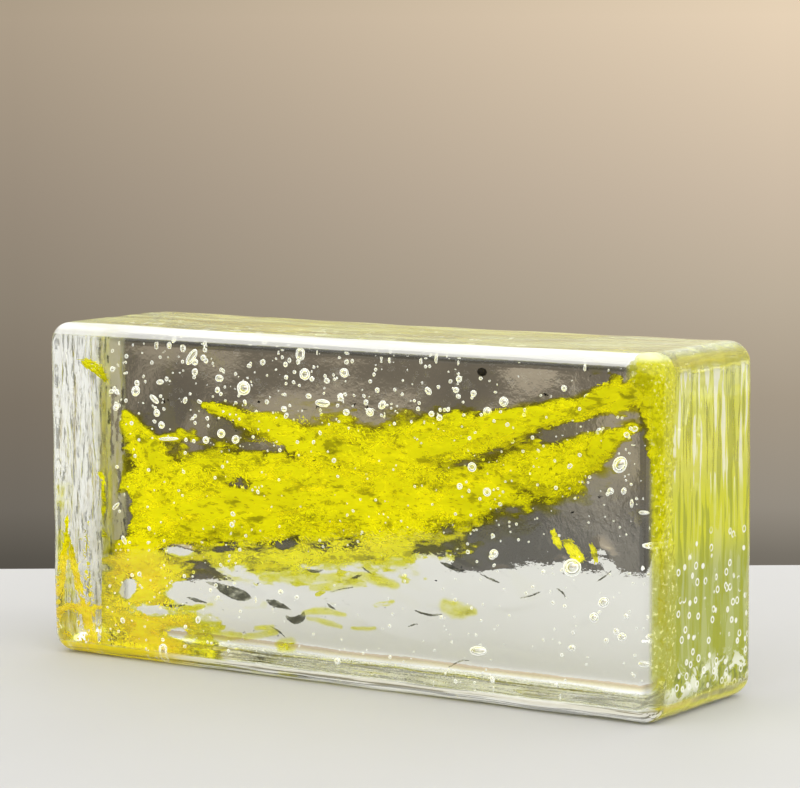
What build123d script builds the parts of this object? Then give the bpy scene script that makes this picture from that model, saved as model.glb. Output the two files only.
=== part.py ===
"""Solid cast glass brick with its largest air bubbles, standing on one of its long narrow sides.

The brick was cast lying on its broad front, in an open mould. So the front has the crisp edge of
the mould's floor, the four corners of the outline have the round of the mould's walls, and the
broad back is the open face that the glass was poured through: its edge is softer, and its middle
drew in a little as the thick glass cooled. Each bubble is a closed void in the one solid.

Millimetres. +X runs along the brick, +Y from the front to the back, +Z up. The origin is the
middle of the side that the brick stands on.
"""
import os
from math import cos, radians, sin

from build123d import *

# Size of the brick
length = 190.0
depth = 50.0
height = 90.0

# Rounding of the edges
corner_radius = 6.0  # the four corners of the broad outline
floor_radius = 4.5  # round the front, cast on the mould's floor
pour_radius = 5.0  # round the open back
corner_spare = 0.1  # an edge's round stays this much tighter than the corner it turns

# Hollow that the cooling glass drew into the open back
sink_depth = 0.6
sink_border = 8.0  # level strip left inside the rounded edge

# The seven largest bubbles. Each row gives the shares of the length, the depth and the height at which
# the bubble lies, its size along its stretch, its size across, and the stretch's rise in degrees.
bubbles = [
    (0.24, 0.18, 0.92, 6.2, 2.2, 50),
    (0.32, 0.28, 0.83, 4.1, 3.8, 10),
    (0.46, 0.24, 0.80, 4.6, 2.0, 0),
    (0.71, 0.22, 0.14, 5.0, 2.4, 5),
    (0.84, 0.32, 0.39, 5.0, 4.4, 20),
    (0.93, 0.18, 0.69, 4.4, 3.6, 50),
    (0.965, 0.57, 0.27, 9.0, 2.6, 85),
]

with BuildPart() as glass_block:
    # Broad outline, carried through the depth
    with BuildSketch(Plane.XZ.offset(depth / 2)):
        with Locations((0, height / 2)):
            RectangleRounded(length, height, corner_radius)
    extrude(amount=-depth)

    # Crisp edge round the front, softer edge round the open back
    front_face = glass_block.faces().sort_by(Axis.Y)[0]
    fillet(front_face.edges(), min(floor_radius, corner_radius - corner_spare))
    back_face = glass_block.faces().sort_by(Axis.Y)[-1]
    fillet(back_face.edges(), min(pour_radius, corner_radius - corner_spare))

    # Shallow double-curved hollow in the back: a very flat arc along the length, swung about a
    # far line behind the brick so that it is as flat an arc over the height
    sink_length = length - 2 * (pour_radius + sink_border)
    sink_height = height - 2 * (pour_radius + sink_border)
    swing_radius = (sink_height**2 / 4 + sink_depth**2) / (2 * sink_depth)
    swing_line = depth / 2 - sink_depth + swing_radius
    with BuildSketch(Plane.XY.offset(height / 2)):
        with BuildLine():
            hollow = ThreePointArc(
                (-sink_length / 2, depth / 2),
                (0, depth / 2 - sink_depth),
                (sink_length / 2, depth / 2),
            )
            Polyline(
                hollow @ 1,
                (sink_length / 2, swing_line),
                (-sink_length / 2, swing_line),
                hollow @ 0,
            )
        make_face()
    revolve(axis=Axis((0, swing_line, height / 2), (1, 0, 0)), mode=Mode.SUBTRACT)

    # Bubbles: half an ellipse turned about its own long axis
    for along, inward, up, stretch, width, rise in bubbles:
        centre = ((along - 0.5) * length, (inward - 0.5) * depth, up * height)
        pull = (cos(radians(rise)), 0, sin(radians(rise)))
        with BuildSketch(Plane(origin=centre, x_dir=pull, z_dir=(0, 1, 0))):
            with BuildLine():
                half = EllipticalCenterArc((0, 0), stretch / 2, width / 2, arc_size=180)
                Line(half @ 1, half @ 0)
            make_face()
        revolve(axis=Axis(centre, pull), mode=Mode.SUBTRACT)

glass_block.part.label = "glass_block"

os.makedirs("parts", exist_ok=True)
export_step(glass_block.part, "parts/glass_block.step")
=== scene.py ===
"""Solid cast glass brick: clear glass with a swirl of yellow coloured glass and trapped bubbles.

glass_body is the clear glass: its outside, with the fine relief that the mould and the pour left, and
its bubbles as cavities in the same mesh. Inside it lies the yellow glass that was stirred into the
melt: closed ragged sheets (colour_sheet_front, colour_sheet_middle and colour_sheet_back), a thin
tint round them (colour_haze), loose strokes below them (colour_strokes), and fine strands that fray
their edges (colour_upper_arm, colour_middle, colour_lower_arm and colour_left_end). fold_shades and
grey_patch are dark films low at the back that paint shade: the dark seen in the folds, and the darker
backdrop seen through the glass. dark_chip is a burnt chip under the top.

Metres. +X runs along the brick, +Y from the clear front to the poured back, +Z up.
"""
import math

import bpy
import numpy as np
from mathutils import Matrix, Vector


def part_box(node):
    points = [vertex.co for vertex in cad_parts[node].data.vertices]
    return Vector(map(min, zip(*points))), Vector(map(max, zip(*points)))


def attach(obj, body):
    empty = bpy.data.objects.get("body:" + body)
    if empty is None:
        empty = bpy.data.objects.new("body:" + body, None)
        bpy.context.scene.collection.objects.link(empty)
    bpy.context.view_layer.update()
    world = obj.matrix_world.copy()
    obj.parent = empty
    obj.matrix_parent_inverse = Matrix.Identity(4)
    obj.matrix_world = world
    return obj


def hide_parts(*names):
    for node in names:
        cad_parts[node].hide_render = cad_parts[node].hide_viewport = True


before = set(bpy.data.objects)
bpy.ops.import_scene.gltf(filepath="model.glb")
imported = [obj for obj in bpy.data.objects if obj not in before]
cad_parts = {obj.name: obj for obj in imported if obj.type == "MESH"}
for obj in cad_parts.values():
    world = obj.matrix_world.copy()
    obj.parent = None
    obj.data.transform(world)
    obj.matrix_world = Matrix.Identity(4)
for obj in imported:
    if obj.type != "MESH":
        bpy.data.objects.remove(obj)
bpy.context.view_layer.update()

MM = 0.001
brick_low, brick_high = (np.array(corner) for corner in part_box("glass_block"))
LENGTH, DEPTH, HEIGHT = map(float, brick_high - brick_low)

# Rounding of the edges, as the mould and the fire left it
CORNER_RADIUS = 6.0 * MM  # the four corners of the broad outline
FLOOR_RADIUS = 4.5 * MM  # round the front, cast on the mould's floor
POUR_RADIUS = 5.0 * MM  # round the open back

# Hollow that the cooling glass drew into the back
SINK_DEPTH = 0.6 * MM
SINK_BORDER = 8.0 * MM  # level strip left inside the rounded edge

GLASS_IOR = 1.52  # how strongly the glass bends light


class Value:
    """A shader socket that takes part in Python arithmetic: an expression adds its Math nodes."""

    def __init__(self, graph, socket):
        self.graph = graph
        self.socket = socket

    def maths(self, operation, *others, clamp=False):
        """A Math node on this value and the others."""
        inputs = dict(enumerate((self,) + others))
        return self.graph.node("ShaderNodeMath", {"operation": operation, "use_clamp": clamp}, inputs)

    def __add__(self, other):
        return self.maths("ADD", other)

    __radd__ = __add__

    def __sub__(self, other):
        return self.maths("SUBTRACT", other)

    def __rsub__(self, other):
        settings = {"operation": "SUBTRACT"}
        return self.graph.node("ShaderNodeMath", settings, {0: other, 1: self})

    def __mul__(self, other):
        return self.maths("MULTIPLY", other)

    __rmul__ = __mul__

    def held(self):
        """The value held between 0 and 1."""
        return self.maths("ADD", 0.0, clamp=True)


class Graph:
    """The node tree of a material or a world, emptied and then built up."""

    def __init__(self, owner):
        owner.use_nodes = True
        self.tree = owner.node_tree
        self.tree.nodes.clear()

    def node(self, kind, settings=None, inputs=None, output=0):
        """One node: its settings first, then the values or links of its sockets."""
        made = self.tree.nodes.new(kind)
        for name, value in (settings or {}).items():
            if name == "stops":
                ramp = made.color_ramp
                while len(ramp.elements) < len(value):
                    ramp.elements.new(1.0)
                for element, (place, colour) in zip(ramp.elements, value):
                    element.position = place
                    element.color = tuple(colour) + (1.0,)
            else:
                setattr(made, name, value)
        for name, value in (inputs or {}).items():
            if isinstance(value, Value):
                self.tree.links.new(value.socket, made.inputs[name])
            elif value is not None:
                made.inputs[name].default_value = value
        return Value(self, made.outputs[output]) if made.outputs else None

    def parts(self, vector):
        """The x, y and z of a vector."""
        split = self.node("ShaderNodeSeparateXYZ", None, {0: vector})
        return [Value(self, socket) for socket in split.socket.node.outputs]

    def millimetres(self, place):
        """The x, y and z of a place, in millimetres."""
        return [part * (1 / MM) for part in self.parts(place)]

    def mix(self, factor, first, second):
        """A colour part of the way from the first colour to the second."""
        first, second = (c if isinstance(c, Value) else tuple(c) + (1.0,) for c in (first, second))
        inputs = {"Factor": factor, 6: first, 7: second}
        return self.node("ShaderNodeMix", {"data_type": "RGBA"}, inputs, output=2)

    def noise(self, place, scale, detail=2.0, rough=0.5, stretch=(1, 1, 1), curl=0.0):
        """Soft noise from 0 to 1 at a place, finer as scale grows, drawn out where stretch is small."""
        mapped = self.node("ShaderNodeMapping", None, {"Vector": place, "Scale": stretch})
        return self.node("ShaderNodeTexNoise", {"noise_dimensions": "3D"},
                         {"Vector": mapped, "Scale": scale, "Detail": detail, "Roughness": rough,
                          "Distortion": curl})

    def step(self, value, low, high):
        """0 below low, 1 above high, and a smooth rise between them."""
        return self.node("ShaderNodeMapRange", {"interpolation_type": "SMOOTHSTEP"},
                         {"Value": value, "From Min": low, "From Max": high})

    def principled(self, **inputs):
        """A Principled shader. An input's name has _ where the socket's has a space."""
        named = {name.replace("_", " "): value for name, value in inputs.items()}
        return self.node("ShaderNodeBsdfPrincipled", None, named)

    def blend(self, factor, first, second):
        """A shader part of the way from the first shader to the second."""
        return self.node("ShaderNodeMixShader", None, {0: factor, 1: first, 2: second})

    def output(self, surface, kind="ShaderNodeOutputMaterial"):
        """The closing node, which shows a surface."""
        self.node(kind, None, {"Surface": surface})


def opened(name):
    """A new material, its graph, and the place on the piece that its patterns are read at."""
    material = bpy.data.materials.new(name)
    graph = Graph(material)
    return material, graph, graph.node("ShaderNodeTexCoord", output=3)


def linear(red, green, blue):
    """The linear colour of a screen colour given from 0 to 255, by the sRGB curve."""
    parts = np.array((red, green, blue)) / 255
    return tuple(np.where(parts <= 0.04045, parts / 12.92, ((parts + 0.055) / 1.055) ** 2.4))


def add_mesh(name, points, faces, material=None, smooth=True):
    """A mesh object from an array of points and arrays of faces, each array with its own width."""
    mesh = bpy.data.meshes.new(name)
    mesh.vertices.add(len(points))
    mesh.vertices.foreach_set("co", points.astype(np.float32).ravel())
    widths = np.concatenate([np.full(len(f), f.shape[1]) for f in faces])
    loops = np.concatenate([f.ravel() for f in faces])
    mesh.loops.add(len(loops))
    mesh.loops.foreach_set("vertex_index", loops.astype(np.int32))
    mesh.polygons.add(len(widths))
    starts = np.concatenate([[0], np.cumsum(widths)[:-1]])
    mesh.polygons.foreach_set("loop_start", starts.astype(np.int32))
    mesh.polygons.foreach_set("use_smooth", np.full(len(widths), smooth))
    mesh.update(calc_edges=True)
    mesh.validate()
    made = bpy.data.objects.new(name, mesh)
    bpy.context.scene.collection.objects.link(made)
    if material is not None:
        mesh.materials.append(material)
    return made


def join_meshes(parts):
    """Points and faces of several (points, faces) pairs as one pair."""
    points, faces, start = [], [], 0
    for part_points, part_faces in parts:
        points.append(part_points)
        faces.extend(f + start for f in part_faces)
        start += len(part_points)
    return np.concatenate(points), faces


def cells(grid):
    """The four corners of each cell of a grid."""
    return np.stack([grid[:-1, :-1], grid[1:, :-1], grid[1:, 1:], grid[:-1, 1:]], -1)


def spindle_faces(rings, corners, count=1):
    """The outward faces of many alike spindles, as four-cornered ones and three-cornered ones.

    A spindle's points are its rings of corners, one after the other, and then its first and its last
    tip. The rings run anticlockwise as seen from the last tip.
    """
    here = np.arange(corners)
    after = (here + 1) % corners
    rows = (np.arange(rings - 1) * corners)[:, None]
    quads = np.stack([rows + here, rows + after, rows + corners + after, rows + corners + here], -1)
    last, tip = (rings - 1) * corners, rings * corners
    caps = np.concatenate([
        np.stack([after, here, np.full(corners, tip)], 1),
        np.stack([last + here, last + after, np.full(corners, tip + 1)], 1),
    ])
    starts = np.arange(count)[:, None, None] * (tip + 2)
    return (quads.reshape(-1, 4) + starts).reshape(-1, 4), (caps + starts).reshape(-1, 3)


# Waves and relief

def wave_field(rng, count, longest, shortest, stretch=(1.0, 1.0)):
    """A smooth uneven field over two coordinates: a sum of cosines.

    Each cosine has a chance direction and phase and a length between longest and shortest, and its
    height falls with its length. stretch draws the field out along the first or second coordinate.
    The result has a spread of about 1.
    """
    lengths = longest * (shortest / longest) ** rng.random(count)
    angles = rng.random(count) * 2 * math.pi
    phases = rng.random(count) * 2 * math.pi
    along = np.cos(angles) / lengths / stretch[0] * 2 * math.pi
    across = np.sin(angles) / lengths / stretch[1] * 2 * math.pi
    heights = (lengths / longest) ** 0.7
    heights = heights / math.sqrt((heights**2).sum() / 2)

    def field(u, v):
        total = np.zeros_like(u)
        for a, b, phase, height in zip(along, across, phases, heights):
            total += height * np.cos(a * u + b * v + phase)
        return total

    return field


def lattice_lines(span, count, edge, edge_count, dense=(0.0, 0.0), share=0.0):
    """Places from -span/2 to span/2: edge_count steps in each rounded edge and count between.

    A share of those between lies in the stretch from the first to the second place of dense.
    """
    inner = span / 2 - edge
    before = (dense[0] + inner) / (2 * inner - dense[1] + dense[0]) * (1 - share)
    middle = np.interp(np.linspace(0, 1, count + 1), [0, before, before + share, 1],
                       [-inner, *dense, inner])
    rim = np.linspace(inner, span / 2, edge_count + 1)[1:]
    return np.concatenate([-rim[::-1], middle, rim])


def brick_outside(across_x, across_y, across_z):
    """The outside of the brick as a closed grid, and the outward direction at each point.

    A box is covered with a grid whose lines stand at the given places. Then the grid is drawn onto
    the rounded brick. In the broad outline, square rings round each corner's centre become arcs of
    circles. Towards the front and the back, the outline draws in along a quarter circle.
    """
    nx, ny, nz = len(across_x), len(across_y), len(across_z)
    i, j, k = np.meshgrid(np.arange(nx), np.arange(ny), np.arange(nz), indexing="ij")
    skin = (i == 0) | (i == nx - 1) | (j == 0) | (j == ny - 1) | (k == 0) | (k == nz - 1)
    number = np.full(skin.shape, -1)
    number[skin] = np.arange(skin.sum())
    x, y, z = across_x[i[skin]], across_y[j[skin]], across_z[k[skin]]

    # How deep the point lies inside the outline, and how far it is from the front and the back
    half_x, half_y, half_z = LENGTH / 2, DEPTH / 2, HEIGHT / 2
    inset = np.minimum(half_x - np.abs(x), half_z - np.abs(z))
    from_front, from_back = y + half_y, half_y - y
    near_front = from_front < from_back
    radius = np.where(near_front, FLOOR_RADIUS, POUR_RADIUS)
    to_face = np.where(near_front, from_front, from_back)
    out = np.clip(radius - inset, 0, None)
    forth = np.clip(radius - to_face, 0, None)
    reach = np.hypot(out, forth)
    turned = (out > 0) & (forth > 0) & (reach > 0)
    safe = np.where(reach > 0, reach, 1)
    new_inset = np.where(turned, radius * (1 - out / safe), inset)
    new_face = np.where(turned, radius * (1 - forth / safe), to_face)
    new_y = np.where(near_front, new_face - half_y, half_y - new_face)

    # Where the point lies in the broad outline: in a corner's square, or beside a straight side
    corner_x = np.abs(x) - (half_x - CORNER_RADIUS)
    corner_z = np.abs(z) - (half_z - CORNER_RADIUS)
    in_corner = (corner_x > 0) & (corner_z > 0)
    span = np.where(in_corner, np.hypot(corner_x, corner_z), 1)
    ring = CORNER_RADIUS - new_inset
    shift = new_inset - inset
    nearer_end = half_x - np.abs(x) < half_z - np.abs(z)
    new_x = np.where(in_corner, half_x - CORNER_RADIUS + ring * corner_x / span,
                     np.abs(x) - np.where(nearer_end, shift, 0)) * np.sign(x)
    new_z = np.where(in_corner, half_z - CORNER_RADIUS + ring * corner_z / span,
                     np.abs(z) - np.where(nearer_end, 0, shift)) * np.sign(z)

    # Outward direction: across the outline and towards the front or the back
    flat_out = np.where(turned, out / safe, np.where(inset < radius, 1.0, 0.0))
    flat_out = np.where(to_face >= radius, 1.0, flat_out)
    flat_forth = np.sqrt(np.clip(1 - flat_out**2, 0, 1))
    way_x = np.where(in_corner, corner_x / span, np.where(nearer_end, 1.0, 0.0)) * np.sign(x)
    way_z = np.where(in_corner, corner_z / span, np.where(nearer_end, 0.0, 1.0)) * np.sign(z)
    way = np.stack([flat_out * way_x, np.where(near_front, -1, 1) * flat_forth, flat_out * way_z], 1)

    # The six sides, with their faces turned outwards
    sides = [
        cells(number[0])[..., ::-1], cells(number[-1]),
        cells(number[:, 0]), cells(number[:, -1])[..., ::-1],
        cells(number[:, :, 0])[..., ::-1], cells(number[:, :, -1]),
    ]
    points = np.stack([new_x, new_y, new_z + half_z], 1)
    return points, way, [side.reshape(-1, 4) for side in sides]


def sink(x, z):
    """Depth of the shallow hollow in the poured back: flat arcs along the length and the height."""
    half_length = LENGTH / 2 - POUR_RADIUS - SINK_BORDER
    half_height = HEIGHT / 2 - POUR_RADIUS - SINK_BORDER
    bowl = 1 - (x / half_length) ** 2 - ((z - HEIGHT / 2) / half_height) ** 2
    return SINK_DEPTH * np.clip(bowl, 0, None) ** 1.5


# Creases that the pour left in the back, as the picture shows them through the glass: middle, half
# length and half height in pixels, slant in degrees, slope, and how many times steeper the far side
# falls back. A crease that slopes out of the glass upwards bends the view up to the dark backdrop,
# and one that slopes out downwards, to the floor.
CREASES = [
    (300, 497, 176, 78, 0, -0.05, 0.25),
    (500, 571, 12, 4, -10, -0.05, 9),
    (560, 563, 10, 5, -30, -0.05, 9),
    (597, 553, 6, 12, 30, -0.05, 9),
    (610, 560, 5, 12, -20, -0.05, 9),
    (648, 562, 3, 14, 4, -0.05, 9),
    (181, 551, 19, 6, 4, -0.17, 9),
    (150, 606, 18, 4, 4, 0.10, 9),
    (212, 640, 18, 4, 6, 0.10, 9),
    (520, 600, 30, 8, -14, 0.03, 9),
    (400, 630, 40, 9, 10, 0.03, 9),
    (590, 610, 26, 9, -30, 0.03, 9),
]


def crease_depth(x, z):
    """Depth of the creases at places on the back.

    Each one is a wedge, an oval in plan: the lesser of two planes that rise from its lower and its
    upper rim, one with its slope and one as many times steeper as the row says.
    """
    depth = np.zeros_like(x)
    for across, down, half_length, half_height, slant, slope, steeper in CREASES:
        middle = seen_at(across, down, DEPTH)
        pixel = (seen_at(across + 1, down, DEPTH) - middle)[0]
        turn = math.radians(-slant)
        along = (x - middle[0]) * math.cos(turn) + (z - middle[2]) * math.sin(turn)
        over = (z - middle[2]) * math.cos(turn) - (x - middle[0]) * math.sin(turn)
        chord = half_height * pixel * np.sqrt(np.clip(1 - (along / half_length / pixel) ** 2, 0, None))
        above_foot, below_head = chord + over, chord - over
        long_side, short_side = (below_head, above_foot) if slope > 0 else (above_foot, below_head)
        depth += abs(slope) * np.clip(np.minimum(long_side, steeper * short_side), 0, None)
    return depth


# Waves of the glass's skin: how many cosines, the longest and shortest in millimetres, and how far
# they are drawn out along the two directions of their side
SKIN_WAVES = [
    (14, 60, 18, (1.0, 1.0)),  # slow swell of the back
    (60, 12, 2.2, (1.0, 2.6)),  # ripples down the ends
    (8, 30, 14, (1.0, 2.0)),  # broad swell of the ends
    (30, 9, 2.6, (1.0, 1.0)),  # pits of the ends
    (16, 8, 2.5, (6.0, 1.0)),  # ripples along the top and the underside
    (24, 4, 1.6, (14.0, 1.0)),  # lines along the front's lower edge
]

# Depth of the relief where its waves are one spread high
BACK_SWELL = 0.10 * MM
END_RIPPLE = 0.05 * MM
LEFT_RIPPLE = 0.05 * MM  # more of it on the rough left end
END_SWELL = 0.05 * MM
LEFT_PITS = 0.03 * MM
TOP_RIPPLE = 0.06 * MM
UNDER_RIPPLE = 0.10 * MM
LIP_LINES = 0.12 * MM
TOP_SAG = 0.45 * MM  # of the middle of the top, below its ends
RIGHT_ROUGHNESS = 0.35  # of the right end, as a share of the left end's


def relief(points, way, rng):
    """How far the surface lies inside the mould's true shape, in metres, at each point.

    Each side has its own waves, which count as far as the surface faces that way, by the square of
    the cosine. The two ends, and the top and the underside, read their waves at different places. The
    poured back also has its sink and its creases, and the top sags along a parabola.
    """
    x, y, z = points.T
    swell, ripple, broad, pits, lengthwise, lines = (
        wave_field(rng, count, longest * MM, shortest * MM, stretch)
        for count, longest, shortest, stretch in SKIN_WAVES)

    def waves(height, field, raised=1.5):
        """Waves lifted by a few spreads and cut off at the mould's true shape."""
        return height * (raised + field).clip(0, None)

    back, top, under = (np.clip(facing, 0, 1) ** 2 for facing in (way[:, 1], way[:, 2], -way[:, 2]))
    ends = way[:, 0] ** 2
    side = np.sign(x)
    left = np.where(x < 0, 1.0, RIGHT_ROUGHNESS)
    lip = np.clip(-way[:, 2], 0, 1) * np.clip(-way[:, 1], 0, 1)
    depth = back * (sink(x, z) + waves(BACK_SWELL, swell(x, z), 1.6) + crease_depth(x, z))
    depth += ends * (waves(END_RIPPLE + LEFT_RIPPLE * left, ripple(y + side * 0.3, z))
                     + waves(END_SWELL, broad(y + side * 0.7, z))
                     + waves(LEFT_PITS * left, pits(y + side * 0.5, z), -0.4))
    depth += top * (TOP_SAG * (1 - (2 * x / LENGTH) ** 2) + waves(TOP_RIPPLE, lengthwise(x, y)))
    depth += under * waves(UNDER_RIPPLE, lengthwise(x + 0.5, y))
    return depth + lip * waves(LIP_LINES, lines(x, y + z))


# Bubbles

def round_shapes(centres, sizes, turns, columns, bands, inwards):
    """Many egg shapes as one mesh.

    Each one is a ball of columns by bands, with a point at each pole, stretched to its three sizes
    and turned by its own three axes. inwards turns the faces to the middle, as on a cavity.
    """
    angle = np.arange(columns) * 2 * math.pi / columns
    rise = (np.arange(1, bands) / bands - 0.5) * math.pi
    ring = np.stack([
        (np.cos(rise)[:, None] * np.cos(angle)).ravel(),
        (np.cos(rise)[:, None] * np.sin(angle)).ravel(),
        np.repeat(np.sin(rise), columns),
    ], 1)
    unit = np.concatenate([ring, [[0, 0, -1], [0, 0, 1]]])
    scaled = unit[None] * sizes[:, None, :] / 2
    points = np.einsum("nij,nkj->nki", turns, scaled) + centres[:, None, :]
    faces = spindle_faces(bands - 1, columns, len(centres))
    return points.reshape(-1, 3), [f[:, ::-1] if inwards else f for f in faces]


def turns_along(ways, rng):
    """For each direction, three axes as a matrix's columns, the last one along the direction."""
    ways = ways / np.linalg.norm(ways, axis=1, keepdims=True)
    side = np.cross(ways, rng.normal(size=ways.shape))
    side /= np.linalg.norm(side, axis=1, keepdims=True)
    return np.stack([side, np.cross(ways, side), ways], -1)


# Places given by where the picture shows them

CAMERA_PLACE = np.array((0.48397, -0.70435, 0.16297))
CAMERA_YAW, CAMERA_PITCH, CAMERA_ROLL = (math.radians(a) for a in (34.285, -5.99, -0.279))
FOCAL_PIXELS, IMAGE_WIDTH, SENSOR = 3309.6, 800, 36.0
IMAGE_MIDDLE = (400, 394)


def camera_axes():
    """The camera's right, up and forward directions, from its three angles."""
    forward = np.array([-math.sin(CAMERA_YAW) * math.cos(CAMERA_PITCH),
                        math.cos(CAMERA_YAW) * math.cos(CAMERA_PITCH), math.sin(CAMERA_PITCH)])
    level = np.array([math.cos(CAMERA_YAW), math.sin(CAMERA_YAW), 0])
    upright = np.cross(level, forward)
    right = math.cos(CAMERA_ROLL) * level + math.sin(CAMERA_ROLL) * upright
    up = math.cos(CAMERA_ROLL) * upright - math.sin(CAMERA_ROLL) * level
    return right, up, forward


def seen_at(across, down, deep, wall="front"):
    """The places inside the glass that are seen at picture points, at depths behind a wall.

    The line from the camera through the point meets the plane of the front, or of the right end,
    bends there as the law of refraction says, and is followed to the depth behind the plane.
    """
    right, up, forward = camera_axes()
    across, down, deep = (np.asarray(v, float)[..., None] for v in (across, down, deep))
    line = (forward * FOCAL_PIXELS + right * (across - IMAGE_MIDDLE[0])
            - up * (down - IMAGE_MIDDLE[1]))
    line /= np.linalg.norm(line, axis=-1, keepdims=True)
    axis, plane, inward = (1, -DEPTH / 2, 1) if wall == "front" else (0, LENGTH / 2, -1)
    hit = CAMERA_PLACE + line * (plane - CAMERA_PLACE[axis]) / line[..., axis:axis + 1]
    bent = line / GLASS_IOR
    bent[..., axis] = 0
    bent[..., axis] = inward * np.sqrt(1 - (bent**2).sum(-1))
    return hit + bent * deep / np.abs(bent[..., axis:axis + 1])


# Bubbles that can be told apart, as the picture shows them: (across, down) in pixels, depth behind
# the wall, length and breadth in millimetres, and the slant of the length in degrees
FRONT_BUBBLES = [
    (191.6, 357.0, 9, 5.2, 2.3, 50), (243.6, 388.1, 14, 4.1, 3.8, 10), (322.6, 403, 12, 4.6, 2.0, 0),
    (478.2, 650.8, 11, 5.0, 2.4, 5), (572.1, 567.5, 16, 5.0, 4.4, 20), (619.9, 464.6, 9, 4.4, 3.6, 50),
    (304.8, 374.2, 18, 3.1, 3.1, 0), (344.2, 372.8, 10, 2.6, 2.4, 0), (300.2, 355.6, 22, 2.6, 2.6, 0),
    (219.3, 378.2, 17, 2.6, 2.0, 0), (154.3, 399.2, 8, 3.4, 1.6, -35), (487.4, 411.8, 13, 2.4, 2.4, 0),
    (503.8, 401.7, 20, 2.5, 2.5, 0), (603.6, 602.2, 8, 3.0, 2.4, 30), (594, 617.5, 14, 2.4, 2.4, 0),
    (622, 636.8, 10, 2.4, 2.0, 10), (135.7, 391, 19, 3.0, 2.6, 60), (382.2, 404.8, 15, 2.6, 2.0, 50),
    (194.8, 362, 12, 2.0, 1.8, 0), (194.8, 372, 12, 2.0, 1.8, 60), (119.8, 337, 8, 2.0, 1.8, 0),
    (143.7, 339, 9, 2.2, 1.8, 0), (160, 382, 10, 2.4, 1.4, 10), (156.8, 413, 12, 2.0, 2.0, 0),
    (161.5, 425, 12, 2.0, 2.0, 0), (205.9, 440, 10, 2.0, 2.0, 0), (221.2, 433.5, 9, 2.4, 2.4, 0),
    (235.6, 439.4, 9, 2.4, 2.2, 30), (472, 467, 8, 2.4, 2.4, 0), (487, 492, 8, 2.2, 2.2, 0),
    (494, 553.5, 9, 2.4, 2.2, 0), (168.6, 438.8, 8, 6.6, 1.0, 4), (459, 379, 14, 1.7, 1.7, 0),
    (456, 390, 14, 1.7, 1.5, 0), (473.6, 393.4, 15, 1.7, 1.7, 0), (439.4, 417.7, 10, 1.7, 1.6, 0),
    (431.5, 414, 10, 1.6, 1.5, 0), (587.3, 396.9, 6, 1.8, 1.5, 0), (634.7, 429, 6, 1.8, 1.4, 20),
    (626.8, 434.9, 6, 1.6, 1.4, 0), (610.6, 491, 8, 1.8, 1.6, 0), (623.8, 491, 8, 1.8, 1.4, 70),
    (642, 512.6, 6, 1.9, 1.0, 0), (631.7, 503.5, 6, 2.2, 1.0, 88), (572, 648, 12, 2.2, 1.5, 10),
    (646.6, 636.8, 6, 1.8, 1.6, 0), (642, 664, 7, 2.0, 1.4, 0), (284, 409, 12, 1.8, 1.6, 0),
    (116, 506, 6, 3.0, 1.2, 40), (124, 540, 7, 2.6, 1.4, -60), (163, 648, 8, 2.6, 2.2, 10),
]
END_BUBBLES = [
    (707.2, 611.3, 7, 9.0, 2.6, 85), (678.6, 566.5, 9, 3.4, 3.0, 20), (699.7, 422, 5, 4.5, 1.4, 85),
    (697, 487, 6, 2.4, 2.0, 30), (712, 541, 8, 2.8, 2.0, 0), (683, 590, 10, 2.6, 2.2, 0),
    (672, 640, 8, 2.4, 2.0, 0), (730, 595, 9, 2.6, 2.0, 30), (686, 655, 6, 2.4, 1.8, 0),
    (733, 515, 6, 2.0, 1.6, 0), (668, 545, 7, 2.2, 1.8, 0), (717, 498, 9, 1.8, 1.6, 0),
    (690, 545, 4, 2.4, 1.8, 20), (700, 552, 4, 2.0, 1.6, 0), (720, 556, 4, 2.6, 1.8, 60),
    (676, 574, 4, 3.0, 2.0, 80), (696, 576, 4, 2.2, 2.0, 0), (728, 570, 5, 2.2, 1.6, 10),
    (690, 604, 4, 2.0, 1.8, 0), (722, 622, 4, 2.4, 1.6, 40), (700, 640, 4, 2.2, 1.8, 0),
    (678, 618, 4, 2.0, 1.6, 0), (736, 545, 4, 1.8, 1.4, 0), (684, 500, 4, 1.8, 1.4, 0),
]

# Swarms of fine bubbles: the picture points they lie between, the least and most depth, how many,
# and their middling size in millimetres
SWARMS = [
    ((110, 336, 460, 425), (3, 40), 300, 0.75),
    ((112, 410, 640, 560), (2, 11), 260, 0.52),
    ((460, 350, 650, 500), (3, 40), 90, 0.55),
    ((230, 560, 650, 700), (3, 40), 130, 0.60),
    ((106, 560, 230, 655), (2, 14), 70, 0.60),
]
LOOSE_BUBBLES, LOOSE_SIZE = 160, 0.55 * MM  # scattered through the whole brick
SWARM_SPREAD, LOOSE_SPREAD = 0.42, 0.4  # of their sizes, as the spread of the exponent
MOST_STRETCH = 0.5  # how much longer than broad a swarm's bubble is, at most
BUBBLE_ROOM = 0.9 * MM  # no bubble comes nearer than this to the sides
CORNER_ROOM = 1.5 * MM  # and no bubble's middle nearer than this to the outline's round corners
BALLS = ((6, 4), (10, 7), (18, 11))  # columns and bands of fine, middling and large bubbles
BALL_LIMITS = (0.8 * MM, 1.3 * MM)  # the breadths that part them


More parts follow.
